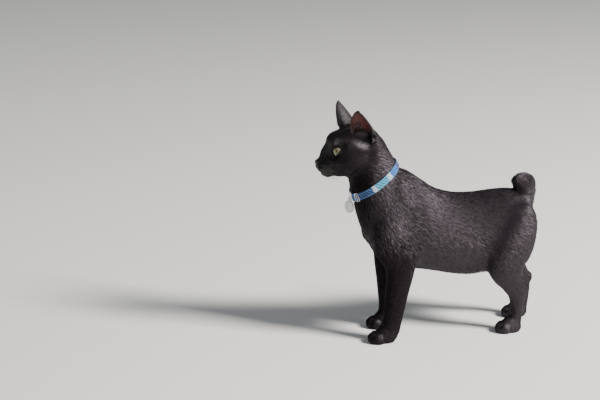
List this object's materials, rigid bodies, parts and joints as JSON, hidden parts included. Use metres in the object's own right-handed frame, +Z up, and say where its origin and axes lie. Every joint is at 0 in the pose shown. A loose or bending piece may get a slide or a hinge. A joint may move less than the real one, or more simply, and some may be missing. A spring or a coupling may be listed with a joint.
{
  "type": "life-size standing cat figure with a collar",
  "caption": "Life-size model of a standing Japanese bobtail cat with a short dark coat, a pompom tail, a striped blue collar and a round tag.",
  "frame": {"origin": "middle of the bounding box's base, on the floor under the trunk", "axes": "+X towards the tail, so the cat faces -X; +Y towards the cat's right; +Z up"},
  "size_m": [0.3232, 0.0994, 0.3193],
  "materials": {
    "coat": "short sleek black fur",
    "eye": "wet, pale yellow iris with a dark pupil",
    "webbing": "woven, with light diagonal stripes",
    "metal": "polished"
  },
  "bodies": {
    "root": {"head": "coat", "neck": "coat", "torso": "coat", "tail": "coat", "foreleg_left": "coat", "foreleg_right": "coat", "hindleg_left": "coat", "hindleg_right": "coat", "ear_left": "coat", "ear_right": "coat", "eye_left": "eye", "eye_right": "eye", "collar": "webbing", "collar_clip": "metal", "collar_ring": "metal", "tag": "metal"}
  },
  "joints": []
}
